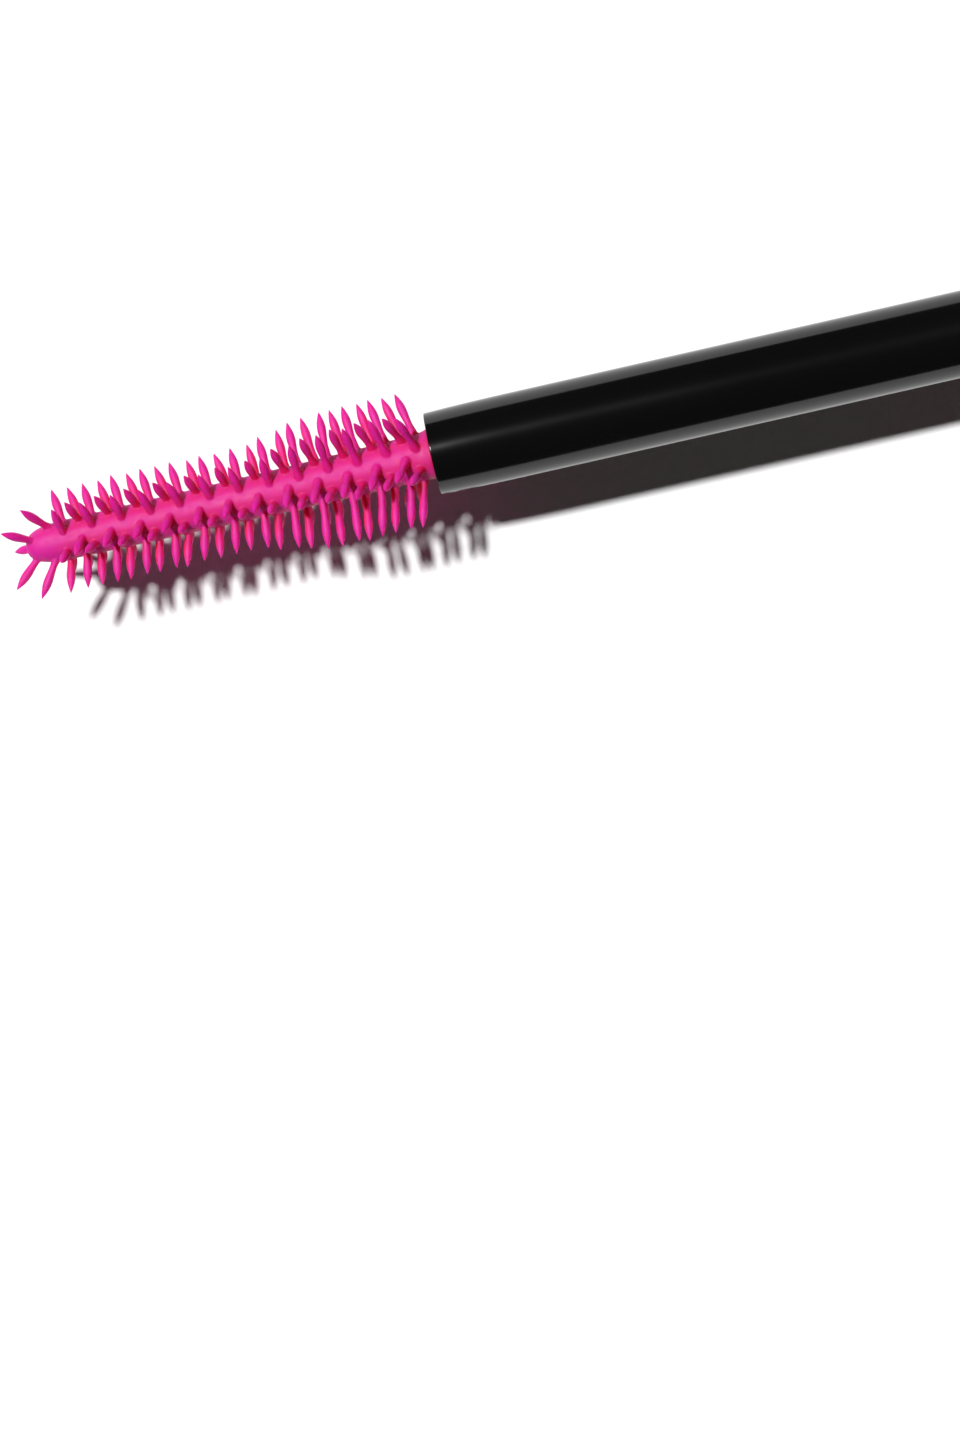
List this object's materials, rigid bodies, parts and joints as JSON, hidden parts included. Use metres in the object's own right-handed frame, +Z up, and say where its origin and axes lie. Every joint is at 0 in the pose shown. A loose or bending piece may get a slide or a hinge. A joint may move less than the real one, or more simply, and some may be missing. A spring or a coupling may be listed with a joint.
{
  "type": "mascara tube with drawn-out wand",
  "caption": "Slim round mascara tube lying open, its cap drawn out on a gloss black stem with a hot-pink moulded brush of leaf-shaped spikes; twist-lock neck, soft wiper inside",
  "frame": {"origin": "on the table under the middle of the laid-out object: middle of its box in X and Y, its lowest point in Z", "axes": "+X along the common axis from the closed end of the tube to the end of the cap, +Z up, +Y away from the viewer"},
  "size_m": [0.202, 0.017, 0.017],
  "materials": {
    "sleeve_black": "deep gloss black lacquer",
    "plug_black": "fine satin moulding",
    "label_white": "blank coated paper",
    "bottle_black": "satin black moulding",
    "pink_metal": "pink anodised, fine turned lines",
    "wiper_soft": "soft translucent white",
    "formula_brown": "wet dark brown cream",
    "cap_black": "polished black",
    "inner_cap_black": "satin black moulding",
    "weight_steel": "turned steel",
    "seal_white": "closed-cell foam",
    "stem_black": "polished black",
    "brush_pink": "satin, lightly translucent hot pink"
  },
  "bodies": {
    "tube": {"outer_sleeve": "sleeve_black", "base_plug": "plug_black", "base_label": "label_white", "bottle": "bottle_black", "shoulder_collar": "pink_metal", "wiper": "wiper_soft", "formula": "formula_brown"},
    "seal": {"neck_seal": "seal_white"},
    "wand": {"trim_ring": "pink_metal", "cap_shell": "cap_black", "inner_cap": "inner_cap_black", "cap_weight": "weight_steel", "cap_top_disc": "pink_metal", "stem": "stem_black", "brush": "brush_pink"}
  },
  "joints": [
    {"name": "wand_slide", "type": "slide", "parent": "tube", "child": "seal", "axis": [-1, 0, 0], "range_m": [0, 0.09], "deforming": ["wiper"]},
    {"name": "cap_twist", "type": "hinge", "parent": "seal", "child": "wand", "pos_m": [0, 0, 0.0085], "axis": [-1, 0, 0], "range_deg": [0, 60]}
  ]
}
